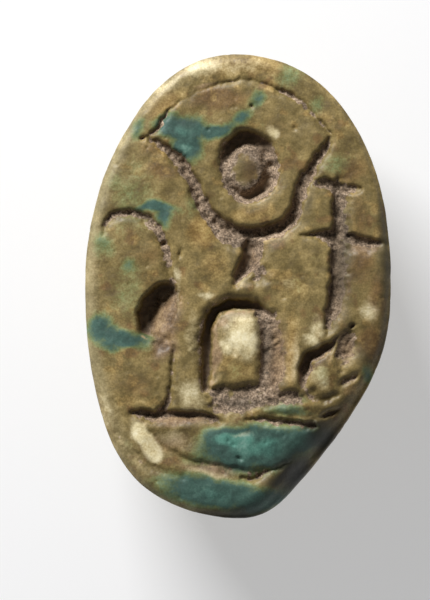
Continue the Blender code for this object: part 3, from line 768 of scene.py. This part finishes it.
def paint(mesh, maps):
    """Where each finish lies, as attributes that the glaze reads: each is about 1 in the middle of a patch.

    On the face and rim they are the soft ovals, at places that noise has shifted, or weak noise where
    that is more. On the back and sides they are noise alone.
    """
    places = np.zeros(len(mesh.vertices) * 3, np.float32)
    mesh.vertices.foreach_get("co", places)
    points = places.reshape(-1, 3).astype(float) / MM
    x, y, z = points.T
    facing = smooth(0.05, 0.50, point_normals(mesh)[:, 2]) * smooth(GIRDLE, GIRDLE + 0.4, z)
    upper = smooth(GIRDLE - 0.2, GIRDLE + 1.2, z)
    wide_x = x + PATCH_WANDER * noise(points, 0.60, 51, 2)
    wide_y = y + PATCH_WANDER * noise(points, 0.60, 52, 2)
    back = 1 - upper
    old_glaze = 0.60 * smooth(0.10, 0.95, noise(points, 2.6, 53, 3))
    lost_glaze = 0.62 * smooth(0.30, 0.95, noise(points, 1.9, 55, 3))
    tints = {
        "turquoise": 0.22 * smooth(0.1, 0.9, noise(points, 0.90, 57, 2)),
        "browned": 0.66 * smooth(0.10, 0.95, noise(points, 0.46, 58, 3)),
        "golden": 0.52 * smooth(0.12, 0.95, noise(points, 0.40, 59, 3)),
    }
    turquoise = np.maximum(patches(wide_x, wide_y, TURQUOISE), tints["turquoise"])
    finish = {
        "turquoise": turquoise * upper + old_glaze * back,
        "bare_stone": patches(wide_x, wide_y, BARE_STONE) * upper + lost_glaze * back,
        "browned": np.maximum(patches(wide_x, wide_y, BROWNED) * upper, tints["browned"]),
        "golden": np.maximum(patches(wide_x, wide_y, GOLDEN) * upper, tints["golden"]),
        "grime_and_shade": patches(wide_x, wide_y, GRIME_AND_SHADE) * upper,
    }
    angle, out = rim_share(x, y)
    finish["handled"] = 0.85 * smooth(0.86, 0.97, out) * near(angle, 172.0, 85.0) * upper
    finish["clay"] = patches(wide_x, wide_y, CLAY) * facing
    for name in ("earth", "crevice", "lip_and_highlight"):
        finish[name] = at(maps[name], x, y) * facing
    for name, values in finish.items():
        attribute = mesh.attributes.new(name, "FLOAT", "POINT")
        attribute.data.foreach_set("value", values.astype(np.float32))


# Materials

# The height of the grit that bump stands for, in metres, and the size of the hole's grain, in millimetres
BUMP_HEIGHT = 0.05 * MM
DRILLED_GRAIN = 0.14


def linear(code):
    """A hex sRGB colour as linear RGBA."""
    values = [int(code[i:i + 2], 16) / 255 for i in (1, 3, 5)]
    return [v / 12.92 if v <= 0.04045 else ((v + 0.055) / 1.055) ** 2.4 for v in values] + [1.0]


def add(tree, kind, inputs=(), output=0, stops=(), **settings):
    """Adds a node with its settings, and gives one of its outputs.

    An input is a value, or the output that feeds it. Stops are a colour ramp's positions and hex colours.
    """
    node = tree.nodes.new(kind)
    for name, value in settings.items():
        setattr(node, name, value)
    for key, value in dict(inputs).items():
        if isinstance(value, bpy.types.NodeSocket):
            tree.links.new(value, node.inputs[key])
        else:
            node.inputs[key].default_value = value
    for index, (position, code) in enumerate(stops):
        elements = node.color_ramp.elements
        element = elements[index] if index < len(elements) else elements.new(position)
        element.position = position
        element.color = linear(code)
    return node.outputs[output]


def new_material(name):
    """A material, its node tree, its Principled shader and Object coordinates in millimetres."""
    material = bpy.data.materials.new(name)
    material.use_nodes = True
    tree = material.node_tree
    place = add(tree, "ShaderNodeTexCoord", output="Object")
    place = add(tree, "ShaderNodeMapping", {"Vector": place, "Scale": (1 / MM,) * 3})
    return material, tree, tree.nodes["Principled BSDF"], place


def glazed_steatite():
    """Glazed steatite, long buried: an olive-brown worn glaze, with turquoise left in patches.

    The glaze is mottled and faintly glossy, bare stone is cream and dull, and the cuts hold
    pinkish grey earth with dark grains. The patches fade into each other, as a thin glaze does.
    The left rim, which fingers rubbed, is paler and greyer. A dark coat, partly grime and partly painted
    shade, darkens the lower right, the right rim and the middle boss's shadow side. The pale lips on the
    edges that face the key light are partly worn stone and partly a painted highlight, and the brightest
    teal, on the bowl's belly, is partly a painted highlight of its lit upper side.
    Its IOR is a glaze's, and the earth is the roughest.
    """
    material, tree, shader, place = new_material("glazed_steatite")
    # Size in mm and detail. The real grit is finer than 0.03 mm and wouldn't show, so specks are coarser
    sizes = {"cloud": (1.05, 2.0), "mottle": (0.48, 3.0), "fine": (0.10, 2.0), "speck": (0.060, 0.0)}
    grain = {}
    for name, (size, detail) in sizes.items():
        pattern = {"Vector": place, "Scale": 1 / size, "Detail": detail, "Roughness": 0.6}
        grain[name] = add(tree, "ShaderNodeTexNoise", pattern)
    uneven = add(tree, "ShaderNodeMix", {0: 0.20, 2: grain["mottle"], 3: grain["fine"]})
    uneven = add(tree, "ShaderNodeMix", {0: 0.32, 2: uneven, 3: grain["cloud"]})
    uneven = add(tree, "ShaderNodeMix", {0: 0.12, 2: uneven, 3: grain["speck"]})
    grit = add(tree, "ShaderNodeMix", {0: 0.35, 2: grain["fine"], 3: grain["speck"]})
    grit = add(tree, "ShaderNodeMix", {0: 0.28, 2: grit, 3: grain["mottle"]})
    ragged = add(tree, "ShaderNodeMix", {0: 0.40, 2: grain["mottle"], 3: grain["fine"]})
    ragged = add(tree, "ShaderNodeMath", {0: ragged, 1: 0.5}, operation="SUBTRACT")
    stops = {
        "glaze": ((0.32, "#5a4b2b"), (0.45, "#726238"), (0.55, "#8a7748"), (0.68, "#a9935e")),
        "brown": ((0.33, "#4c371e"), (0.46, "#68502e"), (0.57, "#82663b"), (0.70, "#a48754")),
        "gold": ((0.34, "#6e5429"), (0.46, "#8f7340"), (0.57, "#b0945a"), (0.69, "#d3ba82")),
        "green": ((0.35, "#515d3a"), (0.49, "#727d4c"), (0.65, "#969f6d")),
        "teal": ((0.32, "#2f443d"), (0.46, "#3a554c"), (0.57, "#446358"), (0.72, "#617b6c")),
        # Bright teal: turquoise glaze, and partly a painted highlight where the bowl's belly faces the light
        "bright_teal_and_highlight": ((0.33, "#437366"), (0.50, "#598e7e"), (0.68, "#7da596")),
        "clay": ((0.37, "#584531"), (0.47, "#7a6247"), (0.56, "#937a5a"), (0.66, "#b59b75")),
        "handled": ((0.34, "#807655"), (0.50, "#978b66"), (0.66, "#b8a981")),
        "stone": ((0.33, "#a68f64"), (0.45, "#d2c192"), (0.56, "#eaddb3"), (0.68, "#f8efd0")),
        "earth": ((0.35, "#4b4034"), (0.46, "#756350"), (0.54, "#937e68"), (0.65, "#bda892")),
    }
    coats = {
        name: add(tree, "ShaderNodeValToRGB", {"Fac": grit if name == "earth" else uneven}, stops=colours)
        for name, colours in stops.items()
    }
    # Pale coat on the lips: worn stone, and partly a painted highlight on the edges that face the light
    coats["lip_and_highlight"] = linear("#ad936f")
    coats["crevice"] = linear("#8b7761")
    # A nearly black coat: grime, and painted shade on the lower right, the right rim and the middle boss's
    # shadow side
    coats["grime_and_shade"] = linear("#2c2d26")
    # Attribute, how ragged its edge is, where it starts and where it is whole, and the coat there
    layers = (
        ("browned", 0.8, 0.20, 0.80, "brown"), ("golden", 0.8, 0.20, 0.80, "gold"),
        ("handled", 0.9, 0.10, 1.20, "handled"), ("turquoise", 0.7, 0.18, 0.56, "green"),
        ("turquoise", 0.8, 0.36, 0.78, "teal"), ("turquoise", 0.4, 0.92, 1.45, "bright_teal_and_highlight"),
        ("bare_stone", 0.55, 0.28, 0.94, "stone"), ("lip_and_highlight", 0.8, 0.20, 1.10, "lip_and_highlight"),
        ("earth", 0.8, 0.25, 0.75, "earth"), ("clay", 0.8, 0.20, 0.95, "clay"),
        ("crevice", 0.4, 0.20, 0.80, "crevice"), ("grime_and_shade", 0.4, 0.15, 1.00, "grime_and_shade"),
    )
    colour = coats["glaze"]
    for name, raggedness, start, whole, coat in layers:
        mask = add(tree, "ShaderNodeAttribute", output="Fac", attribute_name=name)
        mask = add(tree, "ShaderNodeMath", {0: ragged, 1: raggedness, 2: mask}, operation="MULTIPLY_ADD")
        limits = {"Value": mask, "From Min": start, "From Max": whole}
        share = add(tree, "ShaderNodeMapRange", limits, interpolation_type="SMOOTHSTEP")
        colour = add(tree, "ShaderNodeMix", {0: share, 6: colour, 7: coats[coat]}, 2, data_type="RGBA")
    tree.links.new(colour, shader.inputs["Base Color"])

    soil = add(tree, "ShaderNodeAttribute", output="Fac", attribute_name="earth")
    roughness = add(tree, "ShaderNodeMath", {0: grain["fine"], 1: 0.25, 2: 0.42}, operation="MULTIPLY_ADD")
    roughness = add(tree, "ShaderNodeMix", {0: soil, 2: roughness, 3: 0.92})
    tree.links.new(roughness, shader.inputs["Roughness"])
    shader.inputs["IOR"].default_value = 1.5
    strength = add(tree, "ShaderNodeMath", {0: soil, 1: 0.36, 2: 0.17}, operation="MULTIPLY_ADD")
    heights = {"Height": grit, "Strength": strength, "Distance": BUMP_HEIGHT}
    tree.links.new(add(tree, "ShaderNodeBump", heights), shader.inputs["Normal"])
    return material


def drilled_steatite():
    """The wall of the drilled hole: bare steatite, greyed by handling and dusted with earth.

    It is dull all over, and its grain is drawn coarse enough to show.
    """
    material, tree, shader, place = new_material("drilled_steatite")
    pattern = {"Vector": place, "Scale": 1 / DRILLED_GRAIN, "Detail": 3.0, "Roughness": 0.6}
    fine = add(tree, "ShaderNodeTexNoise", pattern)
    stops = ((0.36, "#4a3d30"), (0.50, "#857560"), (0.66, "#b7a888"))
    tree.links.new(add(tree, "ShaderNodeValToRGB", {"Fac": fine}, stops=stops), shader.inputs["Base Color"])
    shader.inputs["Roughness"].default_value = 0.85
    heights = {"Height": fine, "Strength": 0.5, "Distance": BUMP_HEIGHT}
    tree.links.new(add(tree, "ShaderNodeBump", heights), shader.inputs["Normal"])
    return material


def make_bead():
    """The bead that stands for the frame's plain one."""
    materials = (glazed_steatite(), drilled_steatite())
    maps = face_maps()
    points, faces = bead_surface()
    mesh = mesh_from("scaraboid_bead", points, faces)
    points = weathered(points, point_normals(mesh), maps["depth"])
    mesh.vertices.foreach_set("co", (points * MM).astype(np.float32).ravel())
    mesh.update()
    for material in materials:
        mesh.materials.append(material)
    bead = add_object("scaraboid_bead", mesh)
    bored(bead, bore_cutter(materials))
    paint(bead.data, maps)
    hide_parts("scaraboid")
    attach(bead, "root")


# The stage

# The floor: its size, the rise of its edge, its points round and along, and its glow
FLOOR_RADIUS = 600.0
FLOOR_RISE = 210.0
FLOOR_RISE_START = 0.72
FLOOR_POINTS = (96, 40)
FLOOR_GLOW = 0.425

# The key light: where it stands, how many degrees it spans, and the brightness that it gives
KEY_AZIMUTH = 119.0
KEY_ELEVATION = 34.5
KEY_DISTANCE = 150.0 * MM
KEY_SPAN = (30.0, 14.0)
KEY_STRENGTH = 0.92
SKY_STRENGTH = 0.08

# The camera: a long lens, and what it sees at the height of the carved face
CAMERA_LENS = 500.0
SENSOR = 36.0
FRAME_HEIGHT = 20.62
FRAME_MIDDLE = (-0.76, -0.47)


def make_floor():
    """A table of opal acrylic, lit from below: matt, nearly white and without a visible edge.

    It is a flat disc whose far edge rises by an eased ramp, so that it fills a view from low down.
    """
    round_count, along_count = FLOOR_POINTS
    around = np.linspace(0.0, 2 * math.pi, round_count, endpoint=False)
    along = np.linspace(0.02, 1.0, along_count)
    angle, share = (grid.ravel() for grid in np.meshgrid(around, along))
    radius = FLOOR_RADIUS * share
    height = FLOOR_RISE * smooth(FLOOR_RISE_START, 1.0, share)
    points = np.stack([radius * np.cos(angle), radius * np.sin(angle), height], axis=1)
    faces = sleeve(along_count, round_count) + [list(range(round_count))]
    floor = add_object("floor", mesh_from("floor", points, faces))
    material, _, shader, _ = new_material("opal_acrylic")
    shader.inputs["Base Color"].default_value = linear("#bcbcbd")
    shader.inputs["Roughness"].default_value = 0.9
    shader.inputs["Emission Color"].default_value = (1.0, 1.0, 1.0, 1.0)
    shader.inputs["Emission Strength"].default_value = FLOOR_GLOW
    floor.data.materials.append(material)


def make_lights():
    """A wide, low key light from the upper left and almost no sky, so that the cuts stay dark."""
    azimuth, elevation = math.radians(KEY_AZIMUTH), math.radians(KEY_ELEVATION)
    flat = math.cos(elevation)
    toward = Vector((math.cos(azimuth) * flat, math.sin(azimuth) * flat, math.sin(elevation)))
    light = bpy.data.lights.new("key", "AREA")
    light.shape = "RECTANGLE"
    light.size, light.size_y = (2 * KEY_DISTANCE * math.tan(math.radians(span / 2)) for span in KEY_SPAN)
    # The power that gives a level white surface in the middle a brightness of KEY_STRENGTH
    light.energy = KEY_STRENGTH * math.pi**2 * KEY_DISTANCE**2 / math.sin(elevation)
    lamp = add_object("key", light)
    lamp.location = toward * KEY_DISTANCE
    lamp.rotation_euler = toward.to_track_quat("Z", "Y").to_euler()
    world = bpy.data.worlds.new("studio")
    world.use_nodes = True
    background = world.node_tree.nodes["Background"]
    background.inputs["Color"].default_value = (1.0, 1.0, 1.0, 1.0)
    background.inputs["Strength"].default_value = SKY_STRENGTH
    bpy.context.scene.world = world
    bpy.context.scene.view_settings.view_transform = "Standard"


def make_camera():
    """A camera straight above the carved face, so far off that the view has next to no perspective."""
    camera = bpy.data.cameras.new("camera")
    camera.lens = CAMERA_LENS
    camera.sensor_width = SENSOR
    camera.clip_start = 0.001
    camera.clip_end = 10.0
    rig = add_object("camera", camera)
    distance = FRAME_HEIGHT * CAMERA_LENS / SENSOR
    rig.location = Vector((FRAME_MIDDLE[0], FRAME_MIDDLE[1], HEIGHT + distance)) * MM
    bpy.context.scene.camera = rig


make_bead()
make_floor()
make_lights()
make_camera()
